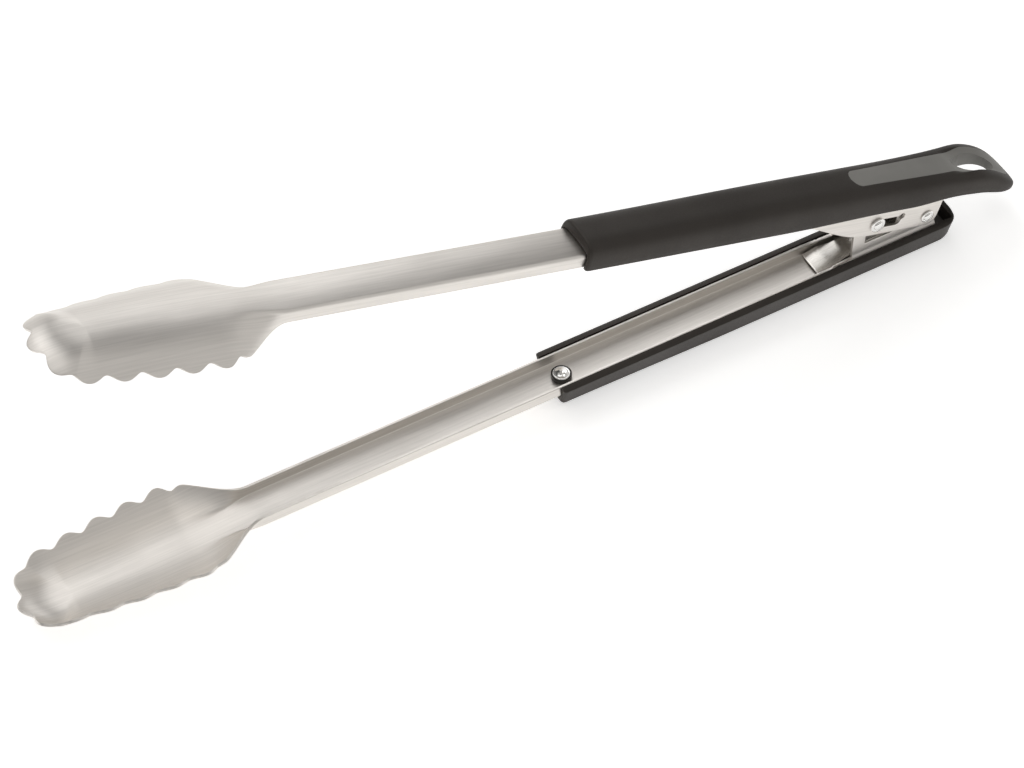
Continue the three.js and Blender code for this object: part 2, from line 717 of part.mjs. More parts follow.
const upperFrame = new THREE.Group();
upperFrame.rotation.z = Math.PI;
addPart(upperFrame, "upper_arm", upperArm(), steel);
addPart(upperFrame, "upper_grip", upperGrip(), gripPlastic);
addPart(upperFrame, "upper_grip_inlay", upperGripInlay(), inlayPlastic);
addPart(upperFrame, "upper_grip_bush", screwBush(), blackPlastic);
addPart(upperFrame, "upper_grip_screw", gripScrew(), polished);
const pin = headedBar(PIN_RADIUS, PIN_HEAD_RADIUS, PIN_HEAD_HEIGHT);
pin.translate(PIN_X, 0, PIN_Z);
addPart(upperFrame, "lock_pin", pin, polished);
const upper = new THREE.Group();
upper.rotation.y = OPEN_ANGLE;
upper.add(upperFrame);

const hinge = new THREE.Group();
addPart(hinge, "hinge_rivet", headedBar(RIVET_RADIUS, RIVET_HEAD_RADIUS, RIVET_HEAD_HEIGHT), polished);
const sleeveEnd = CHANNEL_HALF - JOGGLE - SHEET - GAP;
addPart(hinge, "hinge_sleeve", ringAlongY(RIVET_HOLE_RADIUS, SLEEVE_RADIUS, -sleeveEnd, sleeveEnd), steel);
addPart(hinge, "leaf_spring", leafSpring(), polished);

// The origin is below the middle of the whole object, on the surface that it rests on.
const tongs = new THREE.Group();
tongs.add(lower, upper, hinge);
const box = new THREE.Box3().setFromObject(tongs, true);
const middle = box.getCenter(new THREE.Vector3());
tongs.position.set(-middle.x, 0, -box.min.z);

const group = new THREE.Group();
group.add(tongs);
export default group;
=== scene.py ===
"""Looks for the locking spring tongs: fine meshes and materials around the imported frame.

Shapes are drawn in millimetres in an arm frame, as the part is: +X from the hinge axis towards the
head, Y across, +Z away from the other arm, with the origin on the hinge axis. A piece is then moved
to its place in the row frame, in metres.
"""

import json
import math

import bmesh
import bpy
from mathutils import Matrix, Vector


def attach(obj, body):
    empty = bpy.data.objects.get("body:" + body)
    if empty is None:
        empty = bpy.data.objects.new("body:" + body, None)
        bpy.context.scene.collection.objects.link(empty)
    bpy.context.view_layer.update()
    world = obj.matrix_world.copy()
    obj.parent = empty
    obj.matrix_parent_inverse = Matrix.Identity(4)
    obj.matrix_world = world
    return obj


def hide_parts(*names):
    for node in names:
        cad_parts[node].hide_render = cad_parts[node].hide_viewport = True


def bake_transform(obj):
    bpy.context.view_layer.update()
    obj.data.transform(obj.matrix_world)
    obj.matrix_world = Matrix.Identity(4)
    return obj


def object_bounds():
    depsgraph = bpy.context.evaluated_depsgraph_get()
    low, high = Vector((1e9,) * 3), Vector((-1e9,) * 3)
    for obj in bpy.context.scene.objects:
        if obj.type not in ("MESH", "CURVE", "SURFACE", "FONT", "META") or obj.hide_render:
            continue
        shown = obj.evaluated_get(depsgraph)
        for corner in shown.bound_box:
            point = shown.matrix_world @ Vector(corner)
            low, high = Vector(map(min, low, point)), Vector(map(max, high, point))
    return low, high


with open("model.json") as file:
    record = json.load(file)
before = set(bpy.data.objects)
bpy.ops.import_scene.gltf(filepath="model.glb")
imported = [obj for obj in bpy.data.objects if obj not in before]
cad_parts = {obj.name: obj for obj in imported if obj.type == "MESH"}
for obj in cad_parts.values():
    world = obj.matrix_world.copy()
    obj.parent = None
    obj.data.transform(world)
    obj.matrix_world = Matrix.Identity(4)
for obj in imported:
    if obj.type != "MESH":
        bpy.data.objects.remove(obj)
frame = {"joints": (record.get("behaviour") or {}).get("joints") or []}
CAD_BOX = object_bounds()

# ------------------------------------------------------------------ places
MM = 0.001
JOINTS = {joint["name"]: joint for joint in frame["joints"]}
PIVOT = Vector(JOINTS["arm_hinge"]["pos_m"])
SLIDE_AXIS = Vector(JOINTS["lock_slide"]["axis"])
OPEN_ANGLE = math.atan2(-SLIDE_AXIS.z, SLIDE_AXIS.x)

# from millimetres round the hinge axis to the row frame: as the row stands, and for each arm
HINGE = Matrix.Translation(PIVOT) @ Matrix.Scale(MM, 4)
LOWER = Matrix.Translation(PIVOT) @ Matrix.Rotation(math.pi, 4, "Y") @ Matrix.Scale(MM, 4)
TURNED = Matrix.Rotation(OPEN_ANGLE, 4, "Y") @ Matrix.Rotation(math.pi, 4, "Z")
UPPER = Matrix.Translation(PIVOT) @ TURNED @ Matrix.Scale(MM, 4)

# ------------------------------------------------------------------ sizes, in millimetres
# channel of both arms
SHEET = 1.0
FLANGE_Z = 6.9
CHANNEL_HALF = 7.85
WEB_Z = 11.9
WEB_CROWN = 0.5
CORNER_RADIUS = 1.4
TOOL_REACH = CHANNEL_HALF + 2

# scoop head: its outline and floor turn from channel to bowl between FLARE_START and SHOULDER_END,
# and its walls between CREASE_START and CREASE_END
FLARE_START = 271
SHOULDER_END = 298
CREASE_START = 270
CREASE_END = 298
HEAD_HALF = 21.3
HEAD_TAPER = 0.02
HEAD_CURVE = 0.0015
FRONT_CENTRE = 341.5
FRONT_RADIUS = 18.6
RIM_Z = 5.6
FRONT_RIM_Z = 9.2
BOWL_TOP_Z = 13.4
FRONT_FALL = 0.6
FRONT_FALL_LENGTH = 30
SIDE_STEEPNESS = 2.35
FRONT_STEEPNESS = 3.6
BOWL_FLOOR_SHARE = 0.42
SPINE_END = 341

# scallops, counted from peak to peak round the rim
SCALLOP_START = 289.4
FIRST_PITCH = 10
SIDE_PITCH = 11.6
SIDE_COUNT = 1 + (SPINE_END - SCALLOP_START - FIRST_PITCH) / SIDE_PITCH
CENTRE_COUNT = 7
SCALLOP_CUT = 1.6
SCALLOP_ROUNDING = 0.3

# hinge cheeks
CHEEK_REAR = -4.8
CHEEK_CORNER = 4.2
OUTER_CHEEK_FRONT = 68
OUTER_CHEEK_FULL = 27
OUTER_CHEEK_Z = -4.6
INNER_CHEEK_FRONT = 31.5
INNER_CHEEK_FRONT_Z = -9.0
INNER_CHEEK_REAR_Z = -4.8
INNER_CHEEK_REAR_END = 14
JOGGLE = 1.3
JOGGLE_TOP = 7.8
JOGGLE_END = 5.6
JOGGLE_FRONT = 46

# mesh of an arm: start, end and widest spacing of its ribs, ribs of the fan round the front, and
# points of half a section
RIB_STRETCHES = (
    (CHEEK_REAR + CHEEK_CORNER, 70, 1.6),
    (70, 250, 6),
    (250, 284, 1.0),
    (284, SPINE_END, 0.55),
)
CHEEK_RIBS = 10
FAN_STEPS = 72
FLOOR_STEPS, CORNER_STEPS, WALL_STEPS = 6, 6, 22
WALL_TOP = FLOOR_STEPS + CORNER_STEPS

# rivet, lock pin with its slot, and sleeve
RIVET_RADIUS = 2.0
RIVET_HOLE_RADIUS = 2.3
PIN_RADIUS = 1.75
PIN_X = 23.8
PIN_Z = 0.5
PIN_TRAVEL = 9
PIN_ROOM = 0.6
SLOT_RADIUS = 2.05
HOOK_END = (12.7, 2.3)
HOOK_RADIUS = 1.3
SLEEVE_RADIUS = 3.4
SLEEVE_HALF = 5.25
SLEEVE_CHAMFER = 0.2

# a formed head's radius, height, and height of its edge
RIVET_HEAD = (2.6, 1.3, 0.45)
PIN_HEAD = (3.0, 1.7, 0.75)
# the ring and groove round its dome: shares of the head's radius, and heights over its edge
HEAD_RING = ((0.93, 0.18), (0.8, 0.26), (0.7, 0.1))
DOME_SHARE = 0.64
DOME_STEPS = 10
TURN_SEGMENTS = 48

# leaf spring
SPRING_THICKNESS = 0.7
SPRING_LENGTH = 44.5
SPRING_HINGE_HALF = 4.6
SPRING_END_HALF = 6.1
SPRING_FLARE = (33, 39)
SPRING_LEG_STEPS = 14
SPRING_BEND_STEPS = 24

# grip screws and their bushes
SCREW_X = 150
SCREW_HOLE_RADIUS = 1.8
SCREW_HEAD_RADIUS = 3.3
SCREW_HEAD_Z = 9.5
SCREW_LENGTH = 6.3
THREAD_RADIUS = 1.5
THREAD_ROOT = 1.2
THREAD_PITCH = 0.6
THREAD_TURNS = 9
BUSH_RADIUS = 3.75
BUSH_WALL = 0.38

# grips
GRIP_FRONT = 155.8
LOWER_GRIP_FRONT = 154.7
GRIP_HALF = 9.75
GRIP_RIM_Z = 6.4
GRIP_TOP_Z = 17.8
GRIP_FRONT_TOP_Z = 16.3
GRIP_ROUNDNESS = 3.9
TAIL_ROUNDNESS = 5.2
GRIP_GAP = 0.25
GRIP_LIP = 2.4
LIP_ROUND = 1.4
LIP_SHRINK = 0.9
LOWER_GRIP_TAIL = -13.8
LOWER_ROUND_START = LOWER_GRIP_TAIL + 7
UPPER_GRIP_TAIL = -39.1
UPPER_ROUND_START = -22
TAIL_DROP = 9.2
TAIL_DROP_START = -13
REST_Z = 18.1
LOWER_RIM_HALF = 10.65
EDGE_Z = 7.1
RING_STEPS = 64

# dish, hang hole and inlay in the tail of the upper grip
DISH_X = -21
DISH_LENGTH = 14
DISH_HALF = 6.6
DISH_DEPTH = 3
HOLE_X = -20.5
HOLE_LENGTH = 10.5
HOLE_HALF = 5.0
HOLE_TAPER = 0.25
INLAY_FRONT = 37.5
INLAY_REAR = -37.0
INLAY_THICKNESS = 1.2
INLAY_STEPS = 96
LINER_WALL = 1.1
LINER_Z = 9.6
TAIL_ROOM_REAR = -33.5
TAIL_ROOM_HALF = 8.6
TAIL_ROOM_Z = 12.4
SEAM = 0.12

# ------------------------------------------------------------------ light and camera, in metres
SKY_COLOUR = (1.0, 0.985, 0.965, 1)
SKY_LEVEL = 0.42
# where a patch of sky lies, the cosines of the angle at which it starts and is full, and its amount
SKY_PATCHES = (
    ((0.3, 0.85, 0.45), -0.3, 0.85, 0.26),
    ((0.67, -0.65, 0.44), 0.72, 0.97, 0.14),
    ((0.50, 0.53, 0.72), 0.78, 0.97, -0.62),
    ((-0.8, 0.25, 0.5), 0.72, 0.97, -0.25),
)
# name, place, size and watts
LAMPS = (
    ("top", (-0.5, 0.1, 2.2), (2.2, 1.8), 6),
    ("panel", (0.02, 0.72, 1.02), (0.45, 0.5), 1.3),
    ("screen", (0.28, 0.46, 0.40), (0.34, 0.32), 0.45),
)
LAMP_AIM = Vector((0, 0, 0.05))
FLOOR_HALF = 3
FLOOR_DROP = 0.0002
FLOOR_GLOW = 0.50

CAMERA_FROM_PIVOT = Vector((-0.53951, -0.64092, 0.87219))
CAMERA_RIGHT = Vector((0.86815, -0.49629, 0.00292))
CAMERA_UP = Vector((0.37754, 0.66423, 0.64518))
CAMERA_LENS = 114.83
SENSOR = 36.0


# ------------------------------------------------------------------ small sums
def lerp(a, b, t):
    """The value a share t of the way from a to b."""
    return a + (b - a) * t


def clamp(value, low=0.0, high=1.0):
    return max(low, min(high, value))


def smooth(start, end, value):
    """Rises softly from 0 at start to 1 at end, which may be on either side of start."""
    t = clamp((value - start) / (end - start))
    return t * t * (3 - 2 * t)


def spread(start, end, step):
    """Values from start up to end, evenly spaced and at most step apart."""
    count = max(1, math.ceil(abs(end - start) / step))
    return [lerp(start, end, i / count) for i in range(count)]


# ------------------------------------------------------------------ mesh tools
def add_object(name, verts, faces, uvs=None):
    """A new object. uvs holds one point of the grain map for each vertex."""
    mesh = bpy.data.meshes.new(name)
    mesh.from_pydata(verts, [], faces)
    if uvs:
        layer = mesh.uv_layers.new(name="grain")
        for loop in mesh.loops:
            layer.data[loop.index].uv = uvs[loop.vertex_index]
    piece = bpy.data.objects.new(name, mesh)
    bpy.context.scene.collection.objects.link(piece)
    return piece


def tidy_mesh(piece, distance=1e-4, outward=True):
    """Merges points that meet, and turns the faces outward."""
    work = bmesh.new()
    work.from_mesh(piece.data)
    bmesh.ops.remove_doubles(work, verts=work.verts, dist=distance)
    if outward:
        bmesh.ops.recalc_face_normals(work, faces=work.faces)
    work.to_mesh(piece.data)
    work.free()


def apply_modifiers(piece):
    """Makes a piece's modifiers part of its mesh."""
    bpy.context.view_layer.update()
    graph = bpy.context.evaluated_depsgraph_get()
    done = bpy.data.meshes.new_from_object(piece.evaluated_get(graph), depsgraph=graph)
    piece.modifiers.clear()
    piece.data = done


def boolean(piece, tool, operation="DIFFERENCE"):
    """Cuts or joins a piece with a tool, which is used up."""
    modifier = piece.modifiers.new("cut", "BOOLEAN")
    modifier.operation = operation
    modifier.object = tool
    modifier.solver = "EXACT"
    apply_modifiers(piece)
    bpy.data.objects.remove(tool)


def soften(piece, width, angle=40):
    """Rounds every edge sharper than angle, in degrees."""
    modifier = piece.modifiers.new("soften", "BEVEL")
    modifier.width = width
    modifier.segments = 2
    modifier.limit_method = "ANGLE"
    modifier.angle_limit = math.radians(angle)
    modifier.use_clamp_overlap = True
    apply_modifiers(piece)


def finish_piece(piece, place, material, body, node, sharp=38):
    """Puts a piece in place with its shading and material, hides the part that it stands for, and hangs
    it on its body. A piece given no body is left unattached.
    """
    piece.data.transform(place)
    piece.data.polygons.foreach_set("use_smooth", [True] * len(piece.data.polygons))
    piece.data.set_sharp_from_angle(angle=math.radians(sharp))
    piece.data.materials.clear()
    piece.data.materials.append(material)
    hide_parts(node)
    if body:
        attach(piece, body)


def loft(name, rings, capped=True):
    """A closed solid from rings of points, which all have the same number of points."""
    count = len(rings[0])
    verts = [point for ring in rings for point in ring]
    faces = []
    for i in range(len(rings) - 1):
        for j in range(count):
            k = (j + 1) % count
            faces.append((i * count + j, i * count + k, (i + 1) * count + k, (i + 1) * count + j))
    if capped:
        faces.append(tuple(range(count)))
        faces.append(tuple(range((len(rings) - 1) * count, len(rings) * count)))
    piece = add_object(name, verts, faces)
    tidy_mesh(piece)
    return piece


def across_prism(name, outline, half):
    """An outline of (x, z) points, pushed through from -half to half across the arm."""
    return loft(name, [[(x, y, z) for x, z in outline] for y in (-half, half)])


def upright_prism(name, outline, low, high):
    """An outline of (x, y) points, pushed up from low to high."""
    return loft(name, [[(x, y, z) for x, y in outline] for z in (low, high)])


def lathe(name, profile):
    """A solid of revolution about Z. Its (radius, height) points start and end on the axis, or
    close on themselves."""
    rings = []
    turn = [2 * math.pi * i / TURN_SEGMENTS for i in range(TURN_SEGMENTS)]
    for radius, height in profile:
        rings.append([(radius * math.cos(a), radius * math.sin(a), height) for a in turn])
    return loft(name, rings, capped=False)


def arc(centre, radius, start, end, steps):
    """Points of an arc, from start to end in degrees."""
    angles = [math.radians(lerp(start, end, i / steps)) for i in range(steps + 1)]
    return [(centre[0] + radius * math.cos(a), centre[1] + radius * math.sin(a)) for a in angles]


def stadium(a, b, radius):
    """Outline of a slot with round ends from a to b, as (x, z) points."""
    turn = math.degrees(math.atan2(b[1] - a[1], b[0] - a[0]))
    return arc(a, radius, turn + 90, turn + 270, 16) + arc(b, radius, turn - 90, turn + 90, 16)


def circle(centre, radius):
    """Outline of a round hole."""
    return arc(centre, radius, 0, 360, 40)[:-1]


# ------------------------------------------------------------------ materials
class Nodes:
    """A few short forms for building a node material."""

    def __init__(self, name):
        self.material = bpy.data.materials.new(name)
        self.material.use_nodes = True
        self.tree = self.material.node_tree
        self.shader = self.tree.nodes["Principled BSDF"]

    @classmethod
    def of_tree(cls, tree):
        """The same forms for a tree that has no surface shader."""
        nodes = cls.__new__(cls)
        nodes.tree = tree
        return nodes

    def add(self, kind, **settings):
        node = self.tree.nodes.new(kind)
        for key, value in settings.items():
            setattr(node, key, value)
        return node

    def link(self, source, target):
        self.tree.links.new(source, target)

    def set(self, name, value):
        """Sets a value that is the same all over on the shader's own socket."""
        self.shader.inputs[name].default_value = value

    def drive(self, name, output):
        self.link(output, self.shader.inputs[name])

    def scaled(self, coordinates, scale):
        mapping = self.add("ShaderNodeMapping")
        mapping.inputs["Scale"].default_value = scale
        self.link(coordinates, mapping.inputs["Vector"])
        return mapping.outputs["Vector"]

    def noise(self, vector, scale, detail, roughness=0.5):
        node = self.add("ShaderNodeTexNoise")
        node.inputs["Scale"].default_value = scale
        node.inputs["Detail"].default_value = detail
        node.inputs["Roughness"].default_value = roughness
        self.link(vector, node.inputs["Vector"])
        return node.outputs["Fac"]

    def spread_to(self, value, low, high):
        """Spreads a noise, which is nearly all between 0.3 and 0.7, over low to high."""
        node = self.add("ShaderNodeMapRange")
        node.inputs["From Min"].default_value = 0.3
        node.inputs["From Max"].default_value = 0.7
        node.inputs["To Min"].default_value = low
        node.inputs["To Max"].default_value = high
        self.link(value, node.inputs["Value"])
        return node.outputs["Result"]

    def mix(self, factor, low, high):
        node = self.add("ShaderNodeMix", data_type="RGBA")
        node.inputs["A"].default_value = (*low, 1)
        node.inputs["B"].default_value = (*high, 1)
        self.link(factor, node.inputs["Factor"])
        return node.outputs["Result"]

    def plus_share(self, value, share, base):
        """The sum of base and a share of value."""
        node = self.add("ShaderNodeMath", operation="MULTIPLY_ADD")
        self.link(value, node.inputs[0])
        node.inputs[1].default_value = share
        self.link(base, node.inputs[2])
        return node.outputs["Value"]

    def bump(self, height, strength, distance):
        node = self.add("ShaderNodeBump")
        node.inputs["Strength"].default_value = strength
        node.inputs["Distance"].default_value = distance
        self.link(height, node.inputs["Height"])
        self.drive("Normal", node.outputs["Normal"])


# waves per millimetre across and along the grain
FINE_GRAIN = (9.0, 0.16, 1.0)
BROAD_GRAIN = (1.3, 0.035, 1.0)
SMUDGES = (0.06, 0.022, 1.0)


def brushed_steel(name, light, dark, rough, brush):
    """Satin steel whose grain runs along the piece, from the grain map: u across and v along."""
    nodes = Nodes(name)
    grain = nodes.add("ShaderNodeUVMap", uv_map="grain").outputs["UV"]
    fine = nodes.noise(nodes.scaled(grain, FINE_GRAIN), 1.0, 3.0, 0.65)
    broad = nodes.noise(nodes.scaled(grain, BROAD_GRAIN), 1.0, 2.0)
    smudge = nodes.noise(nodes.scaled(grain, SMUDGES), 1.0, 2.0)
    nodes.drive("Base Color", nodes.mix(nodes.spread_to(broad, 0, 1), dark, light))
    smudged = nodes.spread_to(smudge, rough - 0.03, rough + 0.04)
    nodes.drive("Roughness", nodes.plus_share(nodes.spread_to(fine, -0.5, 0.5), 0.09, smudged))
    nodes.bump(fine, brush, 0.00002)
    nodes.set("Metallic", 1.0)
    nodes.set("Anisotropic", 0.6)
    tangent = nodes.add("ShaderNodeTangent", direction_type="UV_MAP", uv_map="grain")
    nodes.drive("Tangent", tangent.outputs["Tangent"])
    return nodes.material


def polished_steel(name, colour, rough):
    """Bright turned or pressed steel with faint handling marks."""
    nodes = Nodes(name)
    place = nodes.add("ShaderNodeTexCoord").outputs["Object"]
    marks = nodes.noise(place, 900.0, 4.0, 0.6)
    dull = [channel * 0.93 for channel in colour]
    nodes.drive("Base Color", nodes.mix(nodes.spread_to(marks, 0, 1), dull, colour))
    nodes.drive("Roughness", nodes.spread_to(marks, rough - 0.05, rough + 0.07))
    nodes.bump(marks, 0.08, 0.00005)
    nodes.set("Metallic", 1.0)
    return nodes.material


def moulded_plastic(name, colour, worn, rough, grain_size, depth):
    """Matte moulding with a fine spark-eroded grain and slight handling shine."""
    nodes = Nodes(name)
    place = nodes.add("ShaderNodeTexCoord").outputs["Object"]
    grain = nodes.noise(place, 1 / grain_size, 3.0, 0.6)
    patch = nodes.noise(place, 35.0, 3.0, 0.55)
    nodes.drive("Base Color", nodes.mix(nodes.spread_to(patch, 0, 1), colour, worn))
    handled = nodes.spread_to(patch, rough + 0.03, rough - 0.05)
    nodes.drive("Roughness", nodes.plus_share(nodes.spread_to(grain, -0.5, 0.5), 0.12, handled))
    nodes.bump(grain, 0.35, depth)
    nodes.set("Specular IOR Level", 0.45)
    nodes.set("Specular Tint", (1.0, 0.93, 0.86, 1))
    return nodes.material


STEEL = brushed_steel("brushed_steel", (0.82, 0.785, 0.745), (0.73, 0.70, 0.66), 0.38, 0.3)
SPRING_STEEL = brushed_steel("spring_steel", (0.62, 0.60, 0.57), (0.54, 0.52, 0.49), 0.24, 0.2)
POLISHED = polished_steel("polished_steel", (0.86, 0.85, 0.83), 0.11)
GRIP = moulded_plastic(
    "grip_plastic", (0.0175, 0.0148, 0.0128), (0.025, 0.0212, 0.0186), 0.56, 0.0005, 0.00006)
INLAY = moulded_plastic(
    "inlay_plastic", (0.195, 0.193, 0.182), (0.23, 0.227, 0.214), 0.62, 0.0004, 0.00005)
BLACK = moulded_plastic(
    "black_nylon", (0.010, 0.010, 0.010), (0.014, 0.014, 0.014), 0.38, 0.0006, 0.00003)


# ------------------------------------------------------------------ stamped arms
def outline_half(x):
    """Half width of an arm's outer skin, before the scallops: channel, shoulder, then head."""
    ahead = max(0, x - SHOULDER_END)
    side = HEAD_HALF - HEAD_TAPER * ahead - HEAD_CURVE * ahead ** 2
    if x >= SHOULDER_END:
        return side
    return lerp(CHANNEL_HALF, side, smooth(FLARE_START, SHOULDER_END, x))


def front_reach(angle):
    """Where a ray from the end of the spine meets the rim: the straight side or the round front."""
    low, high = 0.0, 60.0
    for _ in range(40):
        reach = (low + high) / 2
        x, y = SPINE_END + reach * math.cos(angle), reach * math.sin(angle)
        if y < outline_half(x) and math.hypot(x - FRONT_CENTRE, y) < FRONT_RADIUS:
            low = reach
        else:
            high = reach
    return low


def scallop_count(x):
    """Scallops from the first peak to a place along the side of the head."""
    along = x - SCALLOP_START
    if along < 0:
        return 0
    if along < FIRST_PITCH:
        return along / FIRST_PITCH
    return 1 + (along - FIRST_PITCH) / SIDE_PITCH


def scallop_cut(count):
    """How far the rim is cut back: broad round lobes at whole counts, tighter valleys between."""
    low, high = math.sqrt(SCALLOP_ROUNDING), math.sqrt(1 + SCALLOP_ROUNDING)
    wave = math.sqrt(math.cos(math.pi * count) ** 2 + SCALLOP_ROUNDING)
    return SCALLOP_CUT * (high - wave) / (high - low)


def arm_ribs(cheek_edge):
    """Ribs from the spine to the rim: place, plan direction, reach, edge height, cut and front share."""
    ribs = []
    turns = [math.pi / 2 * i / CHEEK_RIBS for i in range(CHEEK_RIBS)]
    places = [CHEEK_REAR + CHEEK_CORNER * (1 - math.cos(turn)) for turn in turns]
    for start, end, step in RIB_STRETCHES:
        places += spread(start, end, step)
    for x in places:
        edge = min(cheek_edge(x), lerp(FLANGE_Z, RIM_Z, smooth(FLARE_START, SHOULDER_END, x)))
        ribs.append((x, (0.0, 1.0), outline_half(x), edge, scallop_cut(scallop_count(x)), 0.0))
    fan = []
    for i in range(FAN_STEPS + 1):
        angle = math.pi / 2 * (1 - i / FAN_STEPS)
        fan.append(((math.cos(angle), math.sin(angle)), front_reach(angle), i / FAN_STEPS))
    rims = [Vector(direction) * reach for direction, reach, _ in fan]
    lengths = [0.0]
    for last, rim in zip(rims, rims[1:]):
        lengths.append(lengths[-1] + (rim - last).length)
    for (direction, reach, front), length in zip(fan, lengths):
        edge = lerp(RIM_Z, FRONT_RIM_Z, smooth(0.1, 1, front))
        count = lerp(SIDE_COUNT, CENTRE_COUNT, length / lengths[-1])
        ribs.append((SPINE_END, direction, reach, edge, scallop_cut(count), front))
    return ribs


def wall_heights(top, edge, joggled):
    """Heights down a channel wall. A joggled cheek has half of them over the end of its bend."""
    if not joggled or edge >= JOGGLE_END - 1:
        return [lerp(top, edge, i / WALL_STEPS) for i in range(1, WALL_STEPS + 1)]
    above = WALL_STEPS // 2
    below = WALL_STEPS - above
    bend = JOGGLE_END - 0.4
    heights = [lerp(top, bend, i / above) for i in range(1, above + 1)]
    return heights + [lerp(bend, edge, i / below) for i in range(1, below + 1)]


def channel_half(reach, edge, joggle):
    """Half section of the channel, spine to flange edge. joggle says how far its cheek is set in."""
    flat = CHANNEL_HALF - CORNER_RADIUS
    points = []
    for i in range(FLOOR_STEPS + 1):
        y = flat * i / FLOOR_STEPS
        points.append((y, WEB_Z + WEB_CROWN * (1 - (y / flat) ** 2)))
    for i in range(1, CORNER_STEPS + 1):
        angle = math.pi / 2 * (1 - i / CORNER_STEPS)
        z = WEB_Z + CORNER_RADIUS * (math.sin(angle) - 1)
        points.append((flat + CORNER_RADIUS * math.cos(angle), z))
    top = WEB_Z - CORNER_RADIUS
    for z in wall_heights(top, edge, joggle > 0):
        wall = lerp(CHANNEL_HALF, reach, (top - z) / (top - edge))
        points.append((wall - joggle * smooth(JOGGLE_TOP, JOGGLE_END, z), z))
    return points


def bowl_half(x, reach, edge, cut, front):
    """Half section of the bowl along one rib, spine to scalloped rim."""
    steepness = lerp(SIDE_STEEPNESS, FRONT_STEEPNESS, smooth(0, 0.6, front))
    depth = BOWL_TOP_Z - FRONT_FALL * smooth(SPINE_END - FRONT_FALL_LENGTH, SPINE_END, x) - edge
    end = reach * (1 - cut / depth) ** (1 / steepness)
    shares = [BOWL_FLOOR_SHARE * i / WALL_TOP for i in range(WALL_TOP + 1)]
    shares += [lerp(BOWL_FLOOR_SHARE, 1, i / WALL_STEPS) for i in range(1, WALL_STEPS + 1)]
    points = []
    for share in shares:
        s = end * share
        points.append((s, edge + depth * (1 - (s / reach) ** steepness)))
    return points


def arm_half(rib, joggled):
    """Half section of an arm at a rib: channel, bowl, or a blend of the two on the shoulder."""
    x, _, reach, edge, cut, front = rib
    joggle = JOGGLE * smooth(JOGGLE_FRONT, INNER_CHEEK_FRONT + 1, x) if joggled else 0
    channel = channel_half(reach, edge + cut, joggle)
    if x < FLARE_START:
        return channel
    bowl = bowl_half(x, reach, edge, cut, front)
    floor = smooth(FLARE_START, SHOULDER_END, x)
    wall = smooth(CREASE_START, CREASE_END, x)
    half = []
    for i, (a, b) in enumerate(zip(channel, bowl)):
        share = lerp(floor, wall, smooth(0, 1, i / WALL_TOP))
        half.append((lerp(a[0], b[0], share), lerp(a[1], b[1], share)))
    return half


def arm_sheet(name, cheek_edge, joggled):
    """The outer skin of an arm, thickened inwards by the sheet."""
    verts, faces, uvs = [], [], []
    ribs = arm_ribs(cheek_edge)
    for rib in ribs:
        x, direction = rib[0], rib[1]
        half = arm_half(rib, joggled)
        lengths = [0.0]
        for last, point in zip(half, half[1:]):
            lengths.append(lengths[-1] + math.dist(last, point))
        for side in (-1, 1):
            order = range(len(half) - 1, 0, -1) if side < 0 else range(len(half))
            for i in order:
                s, z = half[i]
                verts.append((x + s * direction[0], side * s * direction[1], z))
                uvs.append((side * lengths[i] * direction[1], x + s * direction[0]))
    count = len(verts) // len(ribs)
    for i in range(len(ribs) - 1):
        for j in range(count - 1):
            a = i * count + j
            faces.append((a, a + count, a + count + 1, a + 1))
    piece = add_object(name, verts, faces, uvs)
    tidy_mesh(piece, 1e-3, outward=False)
    thick = piece.modifiers.new("sheet", "SOLIDIFY")
    thick.thickness = SHEET
    thick.offset = -1
    apply_modifiers(piece)
    return piece


def cheek_edge_with_corner(x, profile):
    """The height of a cheek's edge, whose rear corner is rounded."""
    corner_end = CHEEK_REAR + CHEEK_CORNER
    back = max(0, corner_end - x)
    edge = profile(max(x, corner_end))
    return edge + CHEEK_CORNER - math.sqrt(max(0, CHEEK_CORNER ** 2 - back ** 2))


def outer_cheek_edge(x):
    """The upper arm's cheeks, which taper forward into its flanges."""
    def profile(at):
        return lerp(OUTER_CHEEK_Z, FLANGE_Z, smooth(OUTER_CHEEK_FULL, OUTER_CHEEK_FRONT, at))
    return cheek_edge_with_corner(x, profile)


def inner_cheek_edge(x):
    """The lower arm's cheeks, which deepen forward. Their square front is cut afterwards."""
    def profile(at):
        return lerp(INNER_CHEEK_REAR_Z, INNER_CHEEK_FRONT_Z, smooth(0, INNER_CHEEK_REAR_END, at))
    if x <= INNER_CHEEK_FRONT + 2:
        return cheek_edge_with_corner(x, profile)
    return lerp(INNER_CHEEK_FRONT_Z, FLANGE_Z, smooth(INNER_CHEEK_FRONT + 2, INNER_CHEEK_FRONT + 8, x))


def drill_arm(piece):
    """The holes for the hinge rivet and the grip screw."""
    boolean(piece, across_prism("drill", circle((0, 0), RIVET_HOLE_RADIUS), TOOL_REACH))
    screw_hole = circle((SCREW_X, 0), SCREW_HOLE_RADIUS)
    boolean(piece, upright_prism("drill", screw_hole, WEB_Z - 4, WEB_Z + 4))


def upper_arm():
    """Its cheeks carry the lock pin's slot, which ends in a small hook at the rear."""
    piece = arm_sheet("upper_arm_sheet", outer_cheek_edge, False)
    front, rear = (PIN_X, PIN_Z), (PIN_X - PIN_TRAVEL, PIN_Z)
    drill_arm(piece)
    boolean(piece, across_prism("slot", stadium(rear, front, SLOT_RADIUS), TOOL_REACH))
    boolean(piece, across_prism("hook", stadium(HOOK_END, rear, HOOK_RADIUS), TOOL_REACH))
    soften(piece, 0.2)
    finish_piece(piece, UPPER, STEEL, "upper_arm", "upper_arm")


